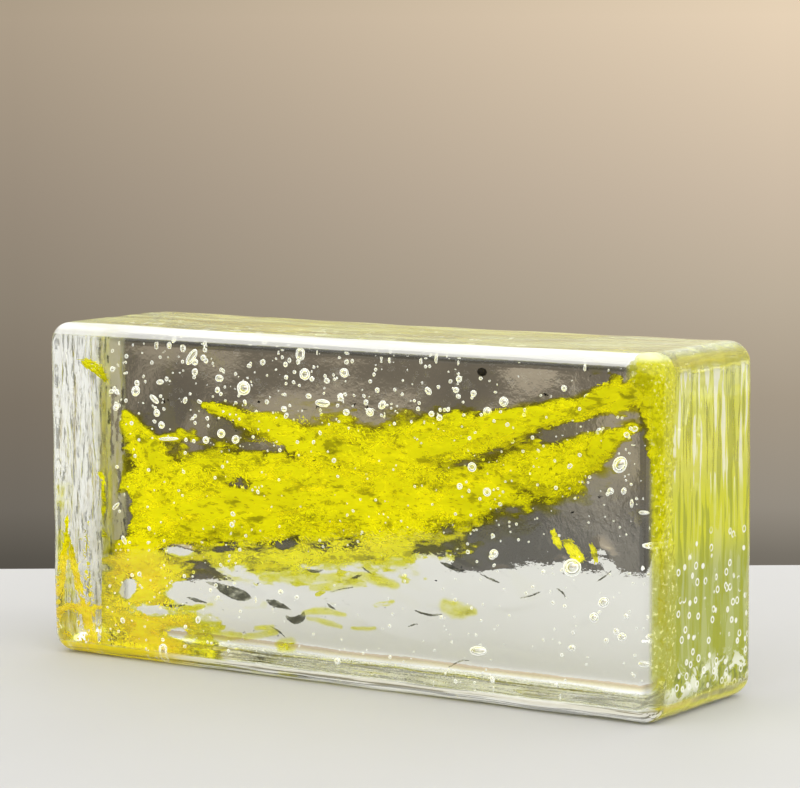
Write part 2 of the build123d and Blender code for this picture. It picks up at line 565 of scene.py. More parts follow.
def make_bubbles(rng):
    """All the bubbles as cavities, whose faces look into the hollow.

    First those that can be told apart, then the swarms, and then loose ones. A swarm's sizes are the
    middling one times a power of e with a bell-shaped exponent. Bubbles too near the skin are left out.
    """
    found = []
    for wall, rows in (("front", FRONT_BUBBLES), ("end", END_BUBBLES)):
        across, down, deep, size, breadth, slant = np.array(rows).T
        level = (1, 0) if wall == "front" else (0, 1)
        rise = np.radians(slant)
        ways = np.stack([np.cos(rise) * level[0], np.cos(rise) * level[1], np.sin(rise)], 1)
        found.append((seen_at(across, down, deep * MM, wall), ways,
                      np.stack([breadth, breadth, size], 1) * MM))
    for (left, top, right, bottom), (near, far), count, middling in SWARMS:
        places = seen_at(rng.uniform(left, right, count), rng.uniform(top, bottom, count),
                         rng.uniform(near, far, count) * MM)
        width = middling * MM * np.exp(SWARM_SPREAD * rng.normal(size=count))
        stretch = 1 + MOST_STRETCH * rng.random(count) ** 3
        found.append((places, rng.normal(size=(count, 3)), np.stack([width, width, width * stretch], 1)))
    places = rng.uniform(brick_low, brick_high, (LOOSE_BUBBLES, 3))
    width = LOOSE_SIZE * np.exp(LOOSE_SPREAD * rng.normal(size=LOOSE_BUBBLES))
    found.append((places, rng.normal(size=(LOOSE_BUBBLES, 3)), np.stack([width] * 3, 1)))
    places, ways, sizes = (np.concatenate(column) for column in zip(*found))

    # Those that have room, also in the rounded corners of the broad outline
    room = sizes[:, 2:] / 2 + BUBBLE_ROOM
    kept = np.all((places > brick_low + room) & (places < brick_high - room), axis=1)
    past_x = np.clip(np.abs(places[:, 0]) - (LENGTH / 2 - CORNER_RADIUS), 0, None)
    past_z = np.clip(np.abs(places[:, 2] - HEIGHT / 2) - (HEIGHT / 2 - CORNER_RADIUS), 0, None)
    kept &= np.hypot(past_x, past_z) < CORNER_RADIUS - CORNER_ROOM
    places, ways, sizes = places[kept], ways[kept], sizes[kept]
    kinds = np.digitize(sizes[:, 0], BALL_LIMITS)
    shapes = []
    for kind, (columns, bands) in enumerate(BALLS):
        own = kinds == kind
        turns = turns_along(ways[own], rng)
        shapes.append(round_shapes(places[own], sizes[own], turns, columns, bands, inwards=True))
    return shapes


# The colour swirl

SKIN_ROOM = 1.3 * MM  # no colour comes nearer than this to the brick's true outside


def drawn_inside(points):
    """Points that lie too near the outside, drawn in until they are SKIN_ROOM inside it.

    The outside is taken as a box rounded by CORNER_RADIUS along every edge. Each point is measured
    from the nearest point of the box's core, CORNER_RADIUS smaller all round.
    """
    core = np.clip(points, brick_low + CORNER_RADIUS, brick_high - CORNER_RADIUS)
    away = points - core
    distance = np.maximum(np.linalg.norm(away, axis=-1, keepdims=True), SKIN_ROOM)
    return core + away * np.minimum(1, (CORNER_RADIUS - SKIN_ROOM) / distance)


def along_curve(rows, share):
    """Values of given rows at shares of their run, joined by smooth cubic pieces."""
    rows = np.array(rows, float)
    steps = np.hypot(*np.diff(rows[:, :2], axis=0).T)
    run = np.concatenate([[0], np.cumsum(steps)])
    run = run / run[-1]
    slopes = np.gradient(rows, run, axis=0)
    at = np.clip(np.searchsorted(run, share, side="right") - 1, 0, len(run) - 2)
    gap = (run[at + 1] - run[at])[:, None]
    t = ((share - run[at])[:, None]) / gap
    return ((2 * t**3 - 3 * t**2 + 1) * rows[at] + (t**3 - 2 * t**2 + t) * gap * slopes[at]
            + (-2 * t**3 + 3 * t**2) * rows[at + 1] + (t**3 - t**2) * gap * slopes[at + 1])


STRAND_BEND, STRAND_LIFT = 0.16, 0.12  # spread of a strand's two bends, in shares of its length
STRAND_TAPER = 0.6  # power of the sine that it swells by
STRAND_FLATNESS = 0.45  # its thickness, in shares of its breadth


def strands(centres, ways, faces_to, lengths, widths, rng, stations=2, corners=3):
    """Many fine pointed strands as one mesh.

    A strand's middle line runs along its way and bends aside as the square of the distance from its
    middle. Its section is a flat triangle, broad side to faces_to, that swells from one tip and
    shrinks to the other as a power of the sine of the distance.
    """
    count = len(centres)
    along = ways / np.linalg.norm(ways, axis=1, keepdims=True)
    side = np.cross(along, faces_to)
    side /= np.linalg.norm(side, axis=1, keepdims=True)
    over = np.cross(side, along)
    share = np.arange(1, stations + 1) / (stations + 1)
    ends = np.concatenate([[0.0], share, [1.0]])
    offset = (ends - 0.5)[None, :, None] * lengths[:, None, None]
    curve = ((2 * ends - 1) ** 2)[None, :, None] * lengths[:, None, None]
    bends = rng.normal(size=(count, 1, 1)) * STRAND_BEND
    lifts = rng.normal(size=(count, 1, 1)) * STRAND_LIFT
    line = (centres[:, None] + offset * along[:, None] + bends * curve * side[:, None]
            + lifts * curve * over[:, None])
    half = (widths[:, None] / 2 * np.sin(share * math.pi) ** STRAND_TAPER)[..., None, None]
    angle = (np.arange(corners) * 2 * math.pi / corners + math.pi / 2)[:, None]
    body = (line[:, 1:-1, None, :]
            + half * np.cos(angle) * side[:, None, None]
            + STRAND_FLATNESS * half * np.sin(angle) * over[:, None, None])
    points = drawn_inside(np.concatenate([body.reshape(count, -1, 3), line[:, [0, -1]]], 1))
    quads, caps = spindle_faces(stations, corners, count)
    # The section runs clockwise, so its faces are turned over
    return points.reshape(-1, 3), [quads[:, [0, 3, 2, 1]], caps[:, [1, 0, 2]]]


# Each stream of colour, as the picture shows it: rows of (across, down, half its breadth) in
# pixels and (depth, half its thickness) in millimetres, then how many strands lie on a square
# pixel, and their length and width in millimetres
STREAMS = {
    "colour_upper_arm": [
        ([(204, 405, 3, 20, 2), (222, 411, 7, 20, 2), (245, 419, 9, 19, 2), (270, 428, 13, 18, 3),
          (300, 440, 19, 17, 4), (340, 450, 25, 16, 5), (380, 455, 27, 15, 5), (420, 448, 25, 14, 5),
          (460, 438, 21, 13, 4), (500, 428, 15, 12, 4), (540, 417, 13, 11, 3), (580, 408, 12, 10, 3),
          (610, 396, 16, 9, 3), (635, 386, 20, 8, 3), (654, 378, 22, 6, 3)], 0.5, 1.9, 0.42),
        ([(636, 372, 8, 6, 3), (650, 395, 12, 6, 3), (655, 425, 10, 5, 3), (657, 460, 7, 4, 2),
          (657, 500, 4, 4, 2), (656, 540, 2, 4, 2)], 0.5, 1.9, 0.42),
        ([(560, 351, 2, 8, 3), (600, 355, 3, 8, 4), (640, 360, 6, 7, 4)], 0.3, 2.2, 0.4),
    ],
    "colour_middle": [
        ([(128, 500, 30, 22, 6), (150, 500, 44, 22, 6), (190, 505, 46, 22, 7), (230, 502, 50, 21, 7),
          (270, 502, 52, 21, 7), (310, 500, 56, 20, 7), (350, 502, 54, 20, 6), (390, 505, 48, 19, 6),
          (420, 502, 40, 18, 5)], 0.5, 1.9, 0.45),
    ],
    "colour_lower_arm": [
        ([(400, 515, 32, 18, 4), (440, 502, 28, 17, 4), (480, 490, 26, 16, 4), (520, 478, 26, 15, 4),
          (550, 470, 27, 14, 3), (575, 461, 26, 13, 3), (595, 450, 16, 11, 3), (615, 436, 9, 10, 2),
          (632, 427, 6, 9, 2)], 0.5, 1.9, 0.42),
        ([(235, 560, 10, 22, 3), (270, 558, 8, 22, 3), (300, 556, 8, 21, 3), (340, 556, 7, 20, 2),
          (385, 556, 5, 20, 2)], 0.3, 2.6, 0.4),
        ([(553, 531, 3, 16, 1), (556, 539, 4, 16, 1), (560, 547, 2, 16, 1)], 0.5, 1.4, 0.4),
        ([(566, 541, 4, 16, 1), (573, 551, 6, 16, 1), (581, 560, 4, 16, 1)], 0.5, 1.4, 0.4),
        ([(591, 545, 2, 16, 1), (594, 552, 3, 16, 1), (596, 560, 2, 16, 1)], 0.5, 1.4, 0.4),
        ([(279, 645, 3, 20, 1), (285, 645, 5, 20, 1), (292, 645, 3, 20, 1)], 0.6, 1.2, 0.4),
    ],
    "colour_left_end": [
        ([(126, 414, 4, 20, 2), (135, 430, 10, 20, 3), (146, 450, 16, 21, 4), (152, 470, 20, 21, 4),
          (152, 500, 24, 22, 5)], 0.5, 1.8, 0.42),
        ([(160, 520, 20, 22, 5), (150, 545, 26, 22, 6), (143, 570, 35, 23, 7), (148, 600, 43, 24, 7),
          (152, 628, 44, 24, 7), (160, 646, 42, 24, 6)], 0.5, 1.9, 0.45),
        ([(74, 645, 5, 8, 3), (110, 648, 6, 12, 4), (150, 650, 6, 16, 4), (190, 652, 5, 20, 4),
          (214, 654, 3, 20, 3)], 0.4, 2.4, 0.5),
        ([(57, 650, 3, 4, 1), (59, 610, 4, 4, 1), (62, 570, 4, 4, 1), (66, 540, 2, 4, 1),
          (67, 516, 1, 4, 1)], 0.3, 2.2, 0.4),
        ([(67, 535, 2, 5, 1), (73, 560, 3, 5, 1), (80, 590, 4, 5, 1), (88, 620, 5, 5, 1),
          (94, 646, 6, 5, 1)], 0.3, 2.2, 0.4),
        ([(60, 588, 4, 5, 2), (72, 604, 4, 5, 2), (84, 628, 6, 6, 2), (96, 644, 7, 7, 2)], 0.3, 2.0, 0.4),
        ([(88, 520, 1, 7, 1), (85, 535, 4, 7, 1), (86, 560, 3, 7, 1), (90, 600, 4, 7, 1),
          (98, 640, 7, 7, 1)], 0.3, 2.2, 0.4),
        ([(60, 640, 12, 5, 2), (80, 643, 12, 6, 2), (104, 645, 12, 7, 3)], 0.4, 2.0, 0.4),
        ([(58, 612, 3, 4, 1), (70, 606, 4, 5, 1), (84, 612, 4, 5, 1), (100, 606, 4, 6, 1)],
         0.3, 2.0, 0.4),
        ([(100, 474, 2, 7, 1), (106, 480, 5, 7, 1), (108, 490, 2, 7, 1)], 0.3, 1.8, 0.4),
        ([(84, 361, 3, 6, 2), (95, 369, 6, 6, 2), (106, 380, 2, 6, 2)], 0.3, 2.0, 0.4),
    ],
}


def level_rows(deep, rows):
    """Rows of (across, down, half breadth) at one depth, made rows like those of the streams."""
    return [(*row, deep, 1) for row in rows]


# Thin soft strokes of colour below the swirl: depth in millimetres, then rows of (across, down, half
# breadth) in pixels
STROKES = [level_rows(*stroke) for stroke in [
    (20, [(262, 578, 2), (300, 579, 4), (340, 577, 3)]),
    (20, [(312, 587, 2), (335, 585, 4), (352, 582, 5), (364, 583, 3)]),
    (20, [(352, 574, 2), (372, 579, 4), (396, 586, 3)]),
    (20, [(304, 613, 2), (322, 611, 3), (345, 615, 1.5)]),
    (20, [(308, 618, 1.5), (322, 621, 2.5), (341, 627, 1.5)]),
    (20, [(352, 628, 1.5), (364, 629, 2), (375, 628, 1.5)]),
    (20, [(446, 606, 5), (458, 611, 6), (474, 612, 3)]),
    (20, [(281, 645, 4), (290, 645, 5)]),
    (22, [(212, 594, 2.5), (240, 601, 3.5), (264, 605, 2)]),
    (22, [(246, 637, 2), (262, 635, 2.5), (276, 632, 2)]),
    (22, [(205, 632, 2), (222, 636, 3), (240, 636, 2)]),
    (22, [(256, 628, 1.5), (272, 627, 2)]),
]]

# Folds where the poured glass closed on itself, low at the back, as the strokes: dark films whose dark is
# painted shade
FOLD_SHADES = [level_rows(*fold) for fold in [
    (44, [(205, 582, 0.5), (216, 585, 2.5), (226, 590, 5), (237, 594, 6), (247, 597, 4), (252, 598, 0.5)]),
    (44, [(266, 600, 0.5), (273, 603, 3.5), (282, 606, 2.5), (291, 610, 0.5)]),
    (44, [(285, 616, 0.5), (290, 619, 2.5), (297, 620, 4), (303, 616, 3), (304, 611, 0.5)]),
    (44, [(246, 571, 0.5), (262, 569, 1.6), (278, 570, 1.8), (290, 568, 0.5)]),
    (44, [(305, 570, 0.5), (314, 571, 1.8), (324, 570, 0.5)]),
    (44, [(350, 579, 0.5), (356, 577, 1.4), (362, 575, 0.5)]),
    (44, [(362, 567, 0.4), (367, 571, 0.9), (372, 574, 0.4)]),
    (44, [(327, 603, 0.4), (331, 607, 1.2), (336, 610, 0.4)]),
    (44, [(414, 610, 0.4), (422, 613, 1.1), (431, 615, 1.1), (443, 614, 0.4)]),
    (44, [(440, 562, 0.5), (449, 566, 2.2), (458, 570, 1.6), (466, 571, 0.5)]),
    (44, [(330, 592, 0.3), (342, 589, 0.6), (354, 587, 0.3)]),
    (44, [(408, 627, 0.3), (413, 625, 0.7), (418, 624, 0.3)]),
    (44, [(480, 574, 0.4), (490, 579, 1.0), (500, 583, 0.4)]),
    (44, [(520, 598, 0.3), (530, 596, 0.7), (541, 591, 0.3)]),
    (44, [(556, 588, 0.3), (562, 592, 0.8), (566, 598, 0.3)]),
    (44, [(596, 582, 0.3), (604, 577, 0.8), (612, 570, 0.3)]),
    (44, [(270, 626, 0.3), (277, 630, 0.8), (286, 638, 0.3)]),
    (44, [(448, 668, 0.3), (458, 662, 0.8), (470, 660, 0.3)]),
    (40, [(160, 604, 0.4), (172, 606, 1.4), (186, 605, 0.4)]),
    (40, [(186, 597, 0.4), (196, 600, 1.6), (207, 603, 0.4)]),
]]

# Grey patch between the swirl and the yellow of the lower left, as the strokes: painted shade, the darker
# backdrop seen there through the glass
BACKDROP_SHADE_PATCH = [level_rows(40, [(170, 584, 3), (182, 588, 7), (196, 591, 8), (208, 594, 4)])]


def ribbon(rows, stations=14, corners=6):
    """A closed ribbon along a smooth curve through rows: a flat oval section that ends in two tips.

    The section's half breadth is the row's, in pixels, across the curve in the picture, and its half
    thickness is the row's, in tenths of a millimetre, straight into the glass.
    """
    across, down, half, deep, thick = along_curve(rows, np.linspace(0, 1, stations + 2)).T
    heading = np.arctan2(np.gradient(down), np.gradient(across))
    angle = np.arange(corners) * 2 * math.pi / corners
    aside = half[1:-1, None] * np.cos(angle)
    inward = deep[1:-1, None] + thick[1:-1, None] / 10 * np.sin(angle)
    body = seen_at(across[1:-1, None] - aside * np.sin(heading[1:-1, None]),
                   down[1:-1, None] + aside * np.cos(heading[1:-1, None]), inward * MM)
    tips = seen_at(across[[0, -1]], down[[0, -1]], deep[[0, -1]] * MM)
    return np.concatenate([body.reshape(-1, 3), tips]), spindle_faces(stations, corners)


# Clear openings in the colour, as the picture shows them: middle, half length and half height in
# pixels, and slant in degrees
OPENINGS = [
    (181, 551, 19, 6, 4), (190, 592, 24, 14, 6), (222, 549, 12, 5, -12), (128, 588, 7, 12, 14),
    (160, 611, 30, 5, 4), (180, 634, 15, 6, 8), (225, 590, 40, 9, 24), (113, 465, 9, 40, 4),
    (118, 515, 13, 26, 12), (206, 428, 24, 9, 12), (262, 447, 20, 6, 8), (236, 570, 10, 6, 0),
    (284, 545, 8, 2.5, 4), (322, 546, 7, 2.5, 3), (578, 429, 52, 7, -16), (520, 396, 30, 4, -8),
    (607, 377, 18, 4, -22), (596, 486, 10, 8, 30), (628, 372, 10, 10, 0), (240, 484, 14, 4, 10),
]


def clear_of_openings(across, down):
    """How far picture points lie outside the nearest opening, in pixels: less than none inside it."""
    clear = np.full_like(across, 99.0)
    for middle, level, half_length, half_height, slant in OPENINGS:
        turn = math.radians(slant)
        along = (across - middle) * math.cos(turn) + (down - level) * math.sin(turn)
        over = (down - level) * math.cos(turn) - (across - middle) * math.sin(turn)
        distance = np.hypot(along / half_length, over / half_height)
        clear = np.minimum(clear, (distance - 1) * half_height)
    return clear


STREAM_REACH = 1.3  # strands are scattered this many half breadths to either side
BROAD = 7  # streams at least this half broad, in pixels, have sheets as well as strands
BROAD_COUNT, NARROW_COUNT = 0.9, 3.2  # strands of the two kinds, times the row's own number
BROAD_UNREST, NARROW_UNREST = (0.45, 0.5), (0.2, 0.16)  # turn by eddies and by chance, in radians
FLAKE_SHARE, FLAKE_BREADTH = 0.08, 3.0  # a few strands are as many times as broad
FRINGE = 636  # right of this picture column there are no flakes
STRAND_ROOM = 1.3 * MM  # a straight strand stays this far inside the sides


def make_stream(rows, thickness, length, width, rng):
    """One stream's strands.

    They are scattered along the run and across its breadth, thinned out where a slow uneven field
    is low and towards the edges. A second field turns them out of the run's direction together, as
    in an eddy, and a third one folds the sheet that they lie in. A broad stream has sheets in its
    middle, so most of its strands lie near its edges.
    """
    run = along_curve(rows, np.linspace(0, 1, 200))
    area = (2 * STREAM_REACH * run[:-1, 2] * np.hypot(*np.diff(run[:, :2], axis=0).T)).sum()
    broad = max(row[2] for row in rows) >= BROAD
    count = int(area * thickness * (BROAD_COUNT if broad else NARROW_COUNT))
    share = np.interp(rng.random(count), np.cumsum(run[:, 2]) / run[:, 2].sum(), np.linspace(0, 1, 200))
    here, ahead = along_curve(rows, share), along_curve(rows, np.minimum(share + 0.01, 1.0))
    back = along_curve(rows, share - 0.01)
    heading = np.arctan2(*(ahead - back)[:, 1::-1].T)
    aside = rng.uniform(-STREAM_REACH, STREAM_REACH, count)
    across = here[:, 0] - aside * here[:, 2] * np.sin(heading)
    down = here[:, 1] + aside * here[:, 2] * np.cos(heading)
    from_middle = np.abs(aside)

    # The uneven fields, over the picture
    clump = wave_field(rng, 24, 60, 9, stretch=(1.8, 1.0))(across, down)
    eddy = wave_field(rng, 16, 110, 24, stretch=(1.4, 1.0))(across, down)
    fold = wave_field(rng, 12, 160, 40)(across, down)
    fray = 0.16 * wave_field(rng, 16, 50, 7, stretch=(1.6, 1.0))(across, down)

    # How likely each strand is kept
    likely = np.clip((1.1 - fray - from_middle) / 0.3, 0, 1) * np.clip(0.75 + 0.4 * clump, 0.04, 1)
    likely *= np.clip(0.5 + clear_of_openings(across, down) / 5, 0, 1)
    if broad:
        likely *= 0.35 + 0.65 * np.clip((from_middle - 0.55) / 0.3, 0, 1)

    # Depth, direction and size
    flake = (rng.random(count) < FLAKE_SHARE) & (from_middle < 0.85) & (across < FRINGE)
    scatter = 0.4 * fold + 0.5 * rng.uniform(-1, 1, count)
    deep = (here[:, 3] + here[:, 4] * scatter - 1.5 * broad) * MM
    deep = deep + np.where(flake, 0.8 * np.abs(rng.normal(size=count)) * MM, 0)
    by_eddy, by_chance = BROAD_UNREST if broad else NARROW_UNREST
    turned = heading + by_eddy * eddy + by_chance * rng.normal(size=count)
    centres = seen_at(across, down, deep)
    drift = 0.35 * rng.normal(size=count) * MM
    ways = seen_at(across + 4 * np.cos(turned), down + 4 * np.sin(turned), deep + drift) - centres
    lengths = length * MM * (0.62 if broad else 1.0) * np.exp(0.4 * rng.normal(size=count))
    widths = width * MM * np.exp(0.35 * rng.normal(size=count)) * np.clip(1.4 - from_middle, 0.4, 1)
    widths *= np.where(flake, FLAKE_BREADTH, 1.0)
    lengths *= np.clip(1.55 - from_middle, 0.45, 1)
    room = lengths[:, None] / 2 * np.abs(ways) / np.linalg.norm(ways, axis=1, keepdims=True) + STRAND_ROOM
    has_room = np.all((centres > brick_low + room) & (centres < brick_high - room), axis=1)
    kept = (rng.random(count) < likely) & has_room
    faces_to = np.array([0.3, -1.0, 0.1]) + 0.45 * rng.normal(size=(count, 3))
    return strands(centres[kept], ways[kept], faces_to[kept], lengths[kept], widths[kept], rng)


# Sheets of colour, from the front to the back of the swirl: the picture's part that they cover and
# the spacing of their grid in pixels, their place behind the streams' own depth and their half
# thickness in millimetres, and how much wider than the streams they reach, in half breadths
SWIRL_VIEW, STROKE_VIEW, PATCH_VIEW = (100, 338, 664, 662), (196, 562, 486, 654), (160, 570, 224, 612)
SHEETS = {
    "colour_sheet_front": (SWIRL_VIEW, 1.7, -1.8, 0.7, -0.24),
    "colour_sheet_middle": (SWIRL_VIEW, 1.7, 0.0, 1.0, 0.08),
    "colour_sheet_back": (SWIRL_VIEW, 2.2, 3.2, 0.9, 0.20),
    "colour_haze": (SWIRL_VIEW, 3.0, 7.0, 0.4, 0.55),
    "colour_strokes": (STROKE_VIEW, 1.1, 0.0, 0.25, 0.80),
    "grey_patch": (PATCH_VIEW, 1.1, 0.0, 0.25, 0.30),
}


def stream_distance(rows, across, down):
    """How far picture points lie from a stream's middle line, in its half breadths, and its depth.

    The depth is the mean along the line, weighted by the bell curve of the distance.
    """
    middle, level, breadth, deep, _ = along_curve(rows, np.linspace(0, 1, 50)).T[..., None]
    distance = np.hypot(across - middle, down - level) / np.maximum(breadth, 1)
    nearest = distance.min(0)
    weight = np.exp(5 * (nearest**2 - distance**2))
    return nearest, (weight * deep).sum(0) / weight.sum(0)


def colour_sheet(lines_of_colour, view, spacing, shift, half_thickness, wider, rng):
    """A closed ragged sheet along some streams, and how far each point lies inside its rim.

    Its plan is where a sum is above zero: 1.05 less the distance from the nearest stream in half
    breadths, and two uneven fields. Front and back part from the rim as a quarter circle rises, and
    the rim's points are moved onto the zero line. The front also has fine folds.
    """
    left, top, right, bottom = view
    columns, lines = int((right - left) / spacing), int((bottom - top) / spacing)
    across, down = np.meshgrid(np.linspace(left, right, columns), np.linspace(top, bottom, lines),
                               indexing="ij")
    inside = np.full(across.shape, -2.0)
    pull, total = np.zeros(across.shape), np.full(across.shape, 1e-9)
    for rows in lines_of_colour:
        distance, deep = (values.reshape(across.shape)
                          for values in stream_distance(rows, across.ravel(), down.ravel()))
        inside = np.maximum(inside, 1.05 + wider - distance)
        weight = np.exp(-4 * np.minimum(distance, 6) ** 2) + 1e-9
        pull, total = pull + weight * deep, total + weight
    inside = np.minimum(inside, clear_of_openings(across, down) / 9)
    inside += 0.20 * wave_field(rng, 50, 34, 4, stretch=(2.2, 1.0))(across, down)
    inside += 0.16 * wave_field(rng, 20, 120, 30, stretch=(2.0, 1.0))(across, down)
    inside[[0, -1]] = -1
    inside[:, [0, -1]] = -1

    # The rim's points, moved onto the zero line
    rise_across, rise_down = np.gradient(inside, across[1, 0] - across[0, 0], down[0, 1] - down[0, 0])
    steepness = np.maximum(rise_across**2 + rise_down**2, 1e-4)
    within = inside > 0
    reach = 0.9 * spacing
    across = across - np.where(within, 0, np.clip(inside * rise_across / steepness, -reach, reach))
    down = down - np.where(within, 0, np.clip(inside * rise_down / steepness, -reach, reach))

    # Front and back of the sheet
    fold = wave_field(rng, 14, 170, 45)(across, down)
    crease = wave_field(rng, 50, 26, 4.5, stretch=(2.4, 1.0))(across, down)
    swell = half_thickness * (1 - (1 - np.clip(inside / 0.5, 0, 1)) ** 2) ** 0.5
    middle = pull / total + shift + 1.5 * fold
    front = middle - swell - 0.26 * crease * np.clip(3 * inside, 0, 1)
    near = seen_at(across, down, np.where(within, front, middle) * MM)
    far = seen_at(across, down, (middle + swell) * MM)

    # Cells that touch the plan. At the rim, both sides share their points.
    used = cells(within).any(-1)
    number = np.arange(across.size).reshape(across.shape)
    behind = np.where(within, number + across.size, number)
    faces = np.concatenate([cells(number)[used][:, ::-1], cells(behind)[used]])
    kept, faces = np.unique(faces, return_inverse=True)
    points = drawn_inside(np.concatenate([near.reshape(-1, 3), far.reshape(-1, 3)])[kept])
    return points, [faces.reshape(-1, 4)], np.tile(np.clip(inside, 0, 1).ravel(), 2)[kept]


# Materials. Colours are linear shares of red, green and blue.

CLEAR = (1.0, 1.0, 1.0)
OLIVE, LEMON, BRIGHT_LEMON = (0.68, 0.66, 0.0), (0.97, 0.94, 0.0), (0.99, 0.97, 0.0)
# Dark olive dabs and dark dashes are painted shade in the gaps between the swirl's wisps
DARK_OLIVE_SHADE, DARK_DASH_SHADE = (0.30, 0.29, 0.0), (0.26, 0.25, 0.0)
AMBER, PALE_AMBER = (0.84, 0.66, 0.0), (0.97, 0.90, 0.0)
SHINING_THROUGH, HAZE = (0.95, 0.90, 0.0), (0.86, 0.85, 0.06)
# Painted light: the glows are emission that stands in for the light scattered inside the cloudy glass
STRAND_PAINTED_GLOW, SHEET_PAINTED_GLOW = 0.34, 0.19  # light scattered inside the cloudy glass
THROUGH_SHARE = 0.25  # of the light on cloudy glass that comes through it

# Tint of the glass itself: on the flat sides, on the top, and up the right end
SIDE_TINT, TOP_TINT = (0.975, 0.985, 0.93), (0.92, 0.93, 0.55)
END_TINTS = ((0.76, 0.80, 0.34), (0.88, 0.89, 0.12), (0.93, 0.94, 0.46))

# Veil of the right end, from its foot upwards, and the marks in it: painted shade in its grooves, and
# painted highlights on its streaks and on the rims of its rings of fine bubbles
END_TONES = ((0.35, 0.39, 0.06), (0.58, 0.59, 0.0), (0.74, 0.76, 0.10))
GROOVE_SHADE, STREAK_HIGHLIGHT, RING_HIGHLIGHT = (0.32, 0.35, 0.0), (0.97, 0.98, 0.84), (0.94, 0.95, 0.88)
LIGHT_SMEAR, DARK_SMEAR = (0.92, 0.94, 0.84), (0.14, 0.17, 0.03)

# Strong yellow along the right end's front edge, from its foot upwards, and the marks in it
EDGE_TONES = ((0.40, 0.42, 0.06), (0.66, 0.65, 0.0))
EDGE_MOTTLE, EDGE_DOT, EDGE_GLINT = (0.36, 0.36, 0.0), (0.34, 0.34, 0.0), (0.92, 0.92, 0.40)

# Veil of the top, the left end, and the front's upper and lower edges
TOP_VEIL = (0.88, 0.93, 0.45)
# The dark of the left end's chill marks is painted shade in its rough relief
CHILLED, CHILL_MARK_SHADE = (0.97, 0.98, 0.96), (0.06, 0.07, 0.06)
LEFT_WISP, LEFT_FOOT = (0.88, 0.86, 0.16), (0.90, 0.80, 0.02)
# The white of the front's upper edge is a painted highlight
UPPER_EDGE_HIGHLIGHT = (0.97, 0.97, 0.94)
# The dark and light lines of the front's lower edge are painted shade and painted highlights
LOWER_EDGE_SHADE, LOWER_EDGE_HIGHLIGHT, AMBER_EDGE_LINE = (0.08, 0.07, 0.03), (0.97, 0.97, 0.93), (0.84, 0.70, 0.0)


def end_veil_tone(graph, place, foot, below, drips, patches):
    """Tone of the right end's veil, pale above, lemon in the middle and olive below.

    Grooves painted dark as their shade and streaks painted light as highlights run down it, rings of fine
    bubbles with painted white highlights on their rims lie in its lower half, and smears at its bottom.
    foot is how many millimetres up a point lies, and below is 1 in the lower half.
    """
    step, mix = graph.step, graph.mix
    cells = graph.node("ShaderNodeTexVoronoi", {"feature": "F1"}, {"Vector": place, "Scale": 300.0})
    smears = graph.noise(place, 260.0, 3.0, 0.55, curl=1.2)
    tone = mix(step(foot, 34, 46), END_TONES[0], END_TONES[1])
    tone = mix(step(foot, 52, 66), tone, END_TONES[2])
    tone = mix(step(drips, 0.47, 0.43) * 0.85, tone, GROOVE_SHADE)
    tone = mix(step(drips, 0.54, 0.56) * (1.0 - below * 0.9), tone, STREAK_HIGHLIGHT)
    bottom = step(foot, 16, 10)
    tone = mix(step(smears, 0.50, 0.58) * bottom * 0.75, tone, LIGHT_SMEAR)
    tone = mix(step(smears, 0.44, 0.38) * bottom * 0.7, tone, DARK_SMEAR)
    ringed = step((cells - 0.24).maths("ABSOLUTE"), 0.09, 0.03)
    return mix(ringed * step(foot, 47, 42) * step(patches, 0.42, 0.48) * 0.85, tone, RING_HIGHLIGHT)


def edge_tone(graph, place, foot, mottle):
    """Tone of the strong yellow along the right end's front edge: speckled, and olive at the foot."""
    speckle = graph.noise(place, 1000.0, 2.0, 0.6)
    tone = graph.mix(graph.step(foot, 34, 46), *EDGE_TONES)
    tone = graph.mix(graph.step(mottle, 0.50, 0.38) * 0.6, tone, EDGE_MOTTLE)
    tone = graph.mix(graph.step(speckle, 0.46, 0.38) * 0.7, tone, EDGE_DOT)
    return graph.mix(graph.step(speckle, 0.60, 0.66) * 0.7, tone, EDGE_GLINT)


